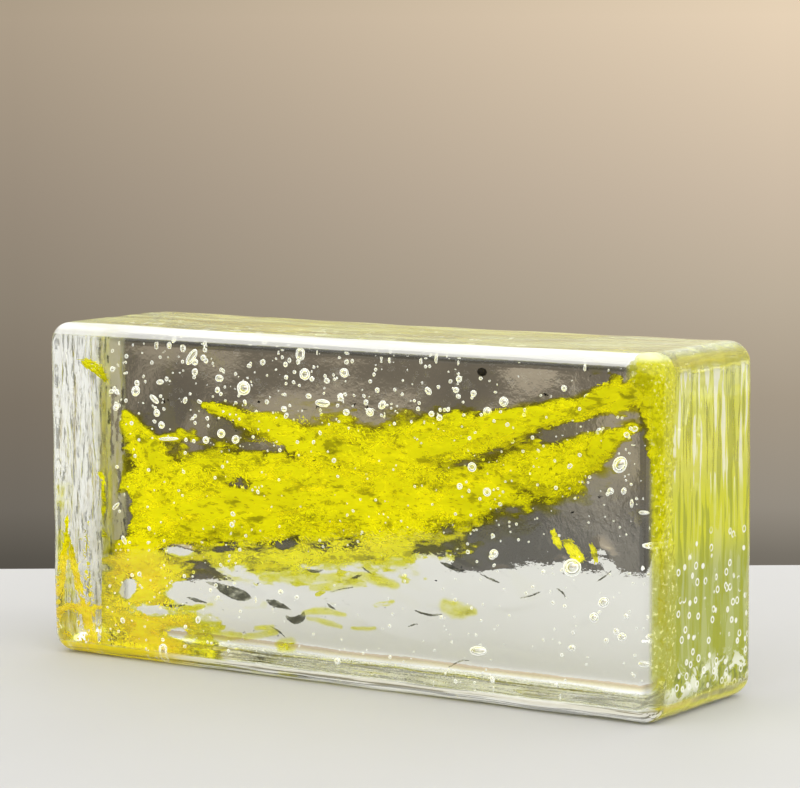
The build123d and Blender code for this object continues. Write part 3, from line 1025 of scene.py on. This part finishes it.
def clear_glass():
    """Clear cast glass with a veil of chill marks and fine bubbles under parts of its skin.

    The veil is a second shader, which takes a share of the skin: on the two ends and the top, and
    along the front's upper and lower edges. Each of them lays its own tone over the others' and adds
    its own share. Places are in millimetres from the side that they are named for.
    """
    material, graph, place = opened("clear_cast_glass")
    step, mix, noise = graph.step, graph.mix, graph.noise
    x, y, foot = graph.millimetres(place)
    left, right = x + LENGTH / 2 / MM, LENGTH / 2 / MM - x
    front, back = y + DEPTH / 2 / MM, DEPTH / 2 / MM - y
    top = HEIGHT / MM - foot
    on_top, at_end, at_left = step(top, 2.5, 0.9), step(right, 3.0, 1.0), step(left, 1.0, 0.6)

    # Uneven patterns, some of them drawn out along the brick or upright
    lengthwise = noise(place, 260.0, 4.0, 0.6, stretch=(0.12, 1.0, 1.0))
    edge_lines = noise(place, 900.0, 2.0, 0.6, stretch=(0.025, 1.0, 1.0))
    upright = noise(place, 300.0, 4.0, 0.6, stretch=(1.0, 1.0, 0.12))
    drips = noise(place, 380.0, 2.0, 0.5, stretch=(1.0, 1.0, 0.10), curl=0.3)
    grain = noise(place, 560.0, 3.0, 0.6, stretch=(1.0, 1.0, 0.28))
    patches = noise(place, 90.0, 3.0, 0.6)
    mottle = noise(place, 420.0, 3.0, 0.6)
    smear = noise(place, 60.0, 3.0, 0.6)

    # Fine relief: upright on the ends, faintly mottled elsewhere
    height = mottle * 0.10 + drips * at_end * 0.8 + grain * at_left
    bump = graph.node("ShaderNodeBump", None, {"Strength": 0.5, "Distance": 0.0004, "Height": height})

    # The glass itself
    end_tint = mix(step(foot, 34, 42), END_TINTS[0], END_TINTS[1])
    end_tint = mix(step(foot, 52, 64), end_tint, END_TINTS[2])
    tint = mix(on_top * step(lengthwise, 0.3, 0.65), SIDE_TINT, TOP_TINT)
    glass = graph.principled(
        Base_Color=mix(at_end, tint, end_tint),
        Roughness=step(smear, 0.55, 0.8) * 0.02 + at_end * (0.02 + upright * 0.16),
        IOR=GLASS_IOR, Transmission_Weight=1.0, Normal=bump)

    # Veil of the right end, and the strong yellow along its front edge and in its upper corner
    below = step(foot, 62, 52)
    on_flat = step(foot, 3, 8) * step(top, 3, 8) * step(front, 2, 6) * step(back, 2, 6)
    end_share = at_end * on_flat * (0.54 + 0.08 * step(upright, 0.35, 0.65) + 0.38 * below)
    ragged = patches - 0.5
    beside = step(right, 3.0, 1.5) * step(front + ragged * 12.0, 9.5, 7.0) * step(foot, 6, 14) * 0.80
    corner = step(right - ragged * 20.0, 9.0, 6.0) * step(top, 12, 7) * step(front, 8.0, 5.0)
    yellow_share = beside.maths("MAXIMUM", corner * 0.70)
    tone = mix(step(yellow_share, 0.0, 0.3), end_veil_tone(graph, place, foot, below, drips, patches),
               edge_tone(graph, place, foot, mottle))
    share = end_share.maths("MAXIMUM", yellow_share)

    # Veil of the top
    tone = mix(on_top, tone, TOP_VEIL)
    share = share + on_top * (0.12 + step(lengthwise, 0.42, 0.62) * 0.34)

    # Veil of the left end and of its back edge: chilled white with dark marks, painted as the shade in its
    # rough relief, and with yellow wisps and foot
    shaded_marks, wisps, left_foot = step(grain, 0.46, 0.40), step(upright, 0.56, 0.64), step(foot, 14, 7)
    left_tone = mix(shaded_marks, CHILLED, CHILL_MARK_SHADE)
    left_tone = mix(wisps * 0.8, left_tone, LEFT_WISP)
    left_tone = mix(left_foot * 0.8, left_tone, LEFT_FOOT)
    back_edge = step(left, 6.0, 4.0) * step(back, 5.0, 3.5)
    tone = mix((at_left + back_edge).held(), tone, left_tone)
    share = share + at_left * (0.10 + 0.50 * shaded_marks + 0.30 * wisps + 0.40 * left_foot).held()
    share = share + back_edge * 0.5

    # Painted highlight: a white band along the front's upper edge
    near_front = step(front, 5.0, 3.5)
    upper_highlight = near_front * step(top, 3.5, 3.0) * (1.0 - step(corner, 0.2, 0.6))
    tone = mix(upper_highlight, tone, UPPER_EDGE_HIGHLIGHT)
    share = (share + upper_highlight * 0.55).held()

    # Painted shade and highlights: dark and light lines along the front's lower edge and the underside,
    # amber to the left
    lower_edge = (near_front * step(foot, 4.2, 3.2) + step(foot, 1.4, 0.8)).held()
    edge_line_tone = mix(step(edge_lines, 0.48, 0.53), LOWER_EDGE_SHADE, LOWER_EDGE_HIGHLIGHT)
    edge_line_tone = mix(step(x, -42, -62) * step(edge_lines, 0.36, 0.50), edge_line_tone, AMBER_EDGE_LINE)
    tone = mix(lower_edge, tone, edge_line_tone)
    share = (share + lower_edge * 0.65).held()
    veil = graph.principled(Base_Color=tone, Roughness=0.22, Specular_IOR_Level=0.25, IOR=GLASS_IOR,
                            Normal=bump)
    graph.output(graph.blend(share, glass, veil))
    return material


def yellow_tone(graph, place, olive=0.0):
    """Lemon yellow with olive patches, dark olive dabs and fine dark dashes painted as the shade in the
    gaps of the swirl, and amber in the lower left.

    The olive patches spread as olive grows.
    """
    step, mix, noise = graph.step, graph.mix, graph.noise
    patches = noise(place, 60.0, 5.0, 0.62, stretch=(0.45, 1.0, 1.0))
    dabs = noise(place, 330.0, 4.0, 0.6, stretch=(0.4, 1.0, 1.0))
    fine = noise(place, 1100.0, 2.0, 0.5, stretch=(0.35, 1.0, 1.0))
    tone = mix(step(patches, 0.34 + olive, 0.54 + olive), OLIVE, LEMON)
    tone = mix(step(dabs, 0.42 + olive, 0.54 + olive) * 0.8, tone, BRIGHT_LEMON)
    tone = mix(step(dabs, 0.44 - olive / 2, 0.34 - olive / 2) * 0.85, tone, DARK_OLIVE_SHADE)
    tone = mix(step(fine, 0.58, 0.68) * 0.6, tone, DARK_DASH_SHADE)
    x, _, z = graph.millimetres(place)
    low_left = step(x, -50, -62) * step(z, 34, 20)
    return mix(low_left * 0.75, tone, mix(step(patches, 0.40, 0.58), AMBER, PALE_AMBER))


def cloudy(graph, tone, painted_glow):
    """Opaque cloudy glass with a little painted glow, which stands in for the light that it scatters."""
    body = graph.principled(Base_Color=tone, Roughness=0.6, Specular_IOR_Level=0.0,
                            Emission_Color=tone, Emission_Strength=painted_glow)
    through = graph.node("ShaderNodeBsdfTranslucent", None, {"Color": (*SHINING_THROUGH, 1.0)})
    return graph.blend(THROUGH_SHARE, body, through)


def thin(graph, tone):
    """Clear thin glass that only colours what is seen through it."""
    return graph.principled(Base_Color=tone, Roughness=0.0, IOR=1.0, Transmission_Weight=1.0)


def depth_inside(graph):
    """How far a point of a sheet lies inside the sheet's rim, from 0 to 1."""
    return graph.node("ShaderNodeAttribute", {"attribute_name": "inside"}, output=2)


def yellow_glass():
    """Opaque yellow coloured glass, for the strands."""
    material, graph, place = opened("yellow_coloured_glass")
    graph.output(cloudy(graph, yellow_tone(graph, place), STRAND_PAINTED_GLOW))
    return material


def yellow_sheet(name, olive, cloud_from, cloud_to, wash_to, blue):
    """Yellow coloured glass that is opaque inside its sheets and thin and clear at their rims.

    It is clear up to cloud_from inside the rim and opaque from cloud_to. The clear part is at its
    strongest yellow from wash_to, where it lets a share of the blue through.
    """
    material, graph, place = opened(name)
    flecks = graph.noise(place, 420.0, 5.0, 0.65, stretch=(0.4, 1.0, 1.0))
    reach = depth_inside(graph) + (flecks - 0.5) * 2.0
    strongest = (0.88 + blue / 6, 0.87 + blue / 6, blue)
    wash = graph.mix(graph.step(reach, -0.10, wash_to), CLEAR, strongest)
    cloud = cloudy(graph, yellow_tone(graph, place, olive), SHEET_PAINTED_GLOW)
    graph.output(graph.blend(graph.step(reach, cloud_from, cloud_to), thin(graph, wash), cloud))
    return material


def thin_tint():
    """Thin clear yellow that only tints what is seen through it, in soft drawn-out streaks."""
    material, graph, place = opened("thin_yellow_tint")
    streaks = graph.noise(place, 160.0, 6.0, 0.66, stretch=(0.4, 1.0, 1.0))
    share = graph.step(streaks + depth_inside(graph) * 0.4, 0.55, 0.85)
    graph.output(thin(graph, graph.mix(share, CLEAR, HAZE)))
    return material


def shading_film(name, dark, light):
    """A film of thin clear glass that darkens what is seen through it, speckled from dark to light:
    painted shade.
    """
    material, graph, place = opened(name)
    cloud = graph.noise(place, 700.0, 3.0, 0.6, stretch=(0.4, 1.0, 1.0))
    graph.output(thin(graph, graph.mix(graph.step(cloud, 0.42, 0.66), dark, light)))
    return material


def bubble_wall_painted_rim():
    """The wall of a bubble: glass with a painted highlight, white and glowing where it is seen at a slant,
    for the bright surroundings that the wall reflects.
    """
    material, graph, _ = opened("bubble_wall_painted_rim")
    slanting = graph.node("ShaderNodeLayerWeight", None, {"Blend": 0.5}, output=1)
    clear = graph.principled(Base_Color=(*CLEAR, 1.0), Roughness=0.0, IOR=GLASS_IOR,
                             Transmission_Weight=1.0)
    # Painted highlight: white glowing colour for the bright surroundings that the bubble's rim reflects
    white = graph.principled(Base_Color=(0.98, 0.98, 0.98, 1.0), Roughness=0.5,
                             Emission_Color=(0.93, 0.95, 1.0, 1.0), Emission_Strength=0.9)
    share = 0.04 + graph.step(slanting, 0.22, 0.45) * 0.50 + graph.step(slanting, 0.50, 0.70) * 0.40
    graph.output(graph.blend(share, clear, white))
    return material


def burnt_chip():
    """Burnt black, faintly uneven and dull."""
    material, graph, place = opened("burnt_chip")
    crust = graph.noise(place, 2500.0, 3.0, 0.6)
    graph.output(graph.principled(Base_Color=graph.mix(crust, (0.006, 0.005, 0.004), (0.03, 0.025, 0.02)),
                                  Roughness=0.55, Specular_IOR_Level=0.1))
    return material


def pale_floor():
    """Pale floor, faintly uneven."""
    material, graph, place = opened("pale_floor")
    cloud = graph.noise(place, 6.0, 3.0, 0.5)
    tone = graph.mix(cloud, linear(196, 195, 193), linear(206, 205, 203))
    graph.output(graph.principled(Base_Color=tone, Roughness=0.6, Specular_IOR_Level=0.2))
    return material


# Camera, floor and light

def make_camera():
    """The camera, aimed by its three axes."""
    right, up, forward = camera_axes()
    lens = bpy.data.cameras.new("camera")
    lens.sensor_width = SENSOR
    lens.lens = FOCAL_PIXELS / IMAGE_WIDTH * SENSOR
    lens.clip_start, lens.clip_end = 0.01, 20
    camera = bpy.data.objects.new("camera", lens)
    bpy.context.scene.collection.objects.link(camera)
    stance = np.eye(4)
    stance[:3] = np.stack([right, up, -forward, CAMERA_PLACE], 1)
    camera.matrix_world = Matrix(stance.tolist())
    bpy.context.scene.camera = camera


# The floor's near and far edge lie this far from the camera, square to its aim, and its sides this
# far from the middle
FLOOR_FRONT, FLOOR_BACK, FLOOR_SIDE = 0.60, 1.031, 0.26


def make_floor():
    """A flat pale floor that ends in a straight edge behind the brick."""
    aim = np.array([-math.sin(CAMERA_YAW), math.cos(CAMERA_YAW), 0])
    side = np.array([math.cos(CAMERA_YAW), math.sin(CAMERA_YAW), 0])
    start = CAMERA_PLACE * (1, 1, 0)
    ahead = np.array([FLOOR_FRONT, FLOOR_FRONT, FLOOR_BACK, FLOOR_BACK])[:, None]
    aside = np.array([-FLOOR_SIDE, FLOOR_SIDE, FLOOR_SIDE, -FLOOR_SIDE])[:, None]
    points = start + aim * ahead + side * aside
    floor = add_mesh("floor", points, [np.array([[0, 1, 2, 3]])], pale_floor(), smooth=False)


# Backdrop and sky: degrees above the horizon, and screen colour
SKY_FROM, SKY_TO = -12.0, 28.0
SKY = [
    (-12.0, (88, 84, 76)), (-8.8, (104, 99, 90)), (-7.9, (132, 125, 114)), (-6.1, (147, 136, 120)),
    (-4.4, (166, 154, 136)), (-2.6, (181, 166, 147)), (0.5, (205, 187, 163)), (3.0, (196, 182, 152)),
    (8.0, (222, 214, 184)), (18.0, (255, 255, 255)),
]
SIDE_GAIN, MOST_GAIN = 2.7, 0.31  # how much brighter the sky grows to the right, and at most
CARD_ANGLE = math.radians(34.0)  # from behind the brick round to its right


def make_world():
    """Soft studio light from all round: warm grey low down, brighter to the right, white overhead.

    A white card stands behind the brick to the right, a softbox hangs behind the camera, and a soft
    flag darkens what is seen through the brick. Sideways and ahead are measured from the camera, as
    parts of a unit direction.
    """
    world = bpy.data.worlds.new("studio")
    bpy.context.scene.world = world
    graph = Graph(world)
    step, mix = graph.step, graph.mix
    x, y, z = graph.parts(graph.node("ShaderNodeTexCoord"))
    degrees = z.maths("ARCSINE") * (180 / math.pi)
    sideways = x * math.cos(CAMERA_YAW) + y * math.sin(CAMERA_YAW)
    ahead = y * math.cos(CAMERA_YAW) - x * math.sin(CAMERA_YAW)

    # Backdrop and sky
    height = graph.node("ShaderNodeMapRange", None, {
        "Value": degrees, "From Min": SKY_FROM, "From Max": SKY_TO})
    stops = [((up - SKY_FROM) / (SKY_TO - SKY_FROM), linear(*colour)) for up, colour in SKY]
    ramp = graph.node("ShaderNodeValToRGB", {"stops": stops}, {0: height})
    gain = 1.0 + (sideways * SIDE_GAIN).maths("MAXIMUM", -MOST_GAIN).maths("MINIMUM", MOST_GAIN)
    light = graph.node("ShaderNodeVectorMath", {"operation": "SCALE"}, {0: ramp, "Scale": gain})

    # Card, flag, overhead light and softbox
    to_card = x * math.sin(CARD_ANGLE) + y * math.cos(CARD_ANGLE)
    light = mix(step(to_card, 0.90, 0.96) * step(degrees, -30, -20), light, (1.0, 1.0, 1.0))
    flag = (step(sideways, -0.086, -0.074) * step(sideways, 0.074, 0.062)
            * step(degrees, -5.1, -5.7) * step(ahead, 0.8, 0.9))
    dimmed = 0.34 + 0.12 * step(degrees, -7.8, -6.6) + 0.10 * step(sideways, 0.0, 0.04)
    light = mix(flag * dimmed, light, (0.0, 0.0, 0.0))
    light = mix(step(degrees, 30, 60), light, (1.1, 1.1, 1.1))
    softbox = step(ahead, -0.05, -0.35) * step(degrees, 8, 24) * step(degrees, 80, 50)
    light = mix(softbox, light, (2.1, 2.1, 2.08))
    graph.output(graph.node("ShaderNodeBackground", None, {"Color": light, "Strength": 1.0}),
                 "ShaderNodeOutputWorld")


# Making of the brick

def make_piece(name, points, faces, material):
    """A mesh that rides on the brick's body, with the material that it is given."""
    piece = add_mesh(name, points, faces, material)
    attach(piece, "root")
    return piece


EDGE_STEPS = 7  # grid steps in each rounded edge
LINES_X, LINES_Y, LINES_Z = 140, 24, 92  # grid steps between the edges
CREASED, CREASED_SHARE = np.array((8, 38)) * MM, 0.66  # heights of the finer creases, and their steps


def make_glass_body(rng):
    """The clear brick: its outside, pressed in by the relief, and the bubbles as hollows in it."""
    skin, outward, skin_faces = brick_outside(
        lattice_lines(LENGTH, LINES_X, CORNER_RADIUS, EDGE_STEPS),
        lattice_lines(DEPTH, LINES_Y, POUR_RADIUS, EDGE_STEPS),
        lattice_lines(HEIGHT, LINES_Z, CORNER_RADIUS, EDGE_STEPS, CREASED - HEIGHT / 2, CREASED_SHARE))
    skin = skin - outward * relief(skin, outward, rng)[:, None]
    points, faces = join_meshes([(skin, skin_faces)] + make_bubbles(rng))
    glass_body = make_piece("glass_body", points, faces, clear_glass())
    glass_body.data.materials.append(bubble_wall_painted_rim())
    of_bubble = np.arange(len(glass_body.data.polygons)) >= sum(map(len, skin_faces))
    glass_body.data.polygons.foreach_set("material_index", of_bubble.astype(np.int32))
    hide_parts("glass_block")


def make_strands(rng):
    """The fine strands of each stream."""
    colour = yellow_glass()
    for name, streams in STREAMS.items():
        make_piece(name, *join_meshes([make_stream(*stream, rng) for stream in streams]), colour)


def make_sheets(rng):
    """The sheets of colour and the grey patch of painted shade.

    A yellow sheet's numbers are how olive it is, the back sheets more so as painted shade, how far inside
    the rim its clouding begins and is full, where its clear part is at its strongest yellow, and how much
    blue that part passes.
    """
    finishes = {
        "colour_sheet_front": yellow_sheet("yellow_colour_sheet_front", -0.04, 0.14, 0.50, 0.25, 0.08),
        "colour_sheet_middle": yellow_sheet("yellow_colour_sheet_middle", 0.0, 0.18, 0.58, 0.25, 0.08),
        "colour_sheet_back": yellow_sheet("yellow_colour_sheet_back", 0.06, 0.20, 0.70, 0.25, 0.08),
        "colour_haze": thin_tint(),
        "colour_strokes": yellow_sheet("yellow_colour_strokes", -0.12, 0.80, 2.0, 1.2, 0.24),
        # Painted shade: the grey film stands for the darker backdrop seen through the glass
        "grey_patch": shading_film("grey_film", (0.40, 0.42, 0.37), (0.80, 0.81, 0.77)),
    }
    broad_streams = [rows for streams in STREAMS.values() for rows, *_ in streams
                     if max(row[2] for row in rows) >= BROAD]
    plans = {"colour_strokes": STROKES, "grey_patch": BACKDROP_SHADE_PATCH}
    for name, numbers in SHEETS.items():
        points, faces, inside = colour_sheet(plans.get(name, broad_streams), *numbers, rng)
        piece = make_piece(name, points, faces, finishes[name])
        depths = piece.data.attributes.new("inside", "FLOAT", "POINT").data
        depths.foreach_set("value", inside.astype(np.float32))


def make_fold_shades():
    """The folds, as ribbons of dark film that paint their shade."""
    fold_shade_film = shading_film("fold_shade_film", (0.10, 0.10, 0.06), (0.60, 0.60, 0.50))
    make_piece("fold_shades", *join_meshes([ribbon(rows) for rows in FOLD_SHADES]), fold_shade_film)


CHIP_VIEW, CHIP_DEPTH = ([482], [372]), 5 * MM  # where the picture shows the chip, and how deep it lies
CHIP_SIZE = np.array([[3.0, 1.2, 2.2]]) * MM


def make_chip():
    """A burnt chip with few facets, close behind the front."""
    points, faces = round_shapes(seen_at(*CHIP_VIEW, CHIP_DEPTH), CHIP_SIZE, np.eye(3)[None], 6, 4,
                                 inwards=False)
    make_piece("dark_chip", points, faces, burnt_chip())


chance = np.random.default_rng(12)
make_glass_body(chance)
make_strands(chance)
make_sheets(chance)
make_fold_shades()
make_chip()
make_camera()
make_floor()
make_world()

# Light has to pass many walls of bubbles and sheets
scene = bpy.context.scene
scene.view_settings.view_transform = "Standard"
scene.cycles.max_bounces = 64
scene.cycles.diffuse_bounces = 32
scene.cycles.transmission_bounces = 48
scene.cycles.glossy_bounces = 24
scene.cycles.transparent_max_bounces = 16
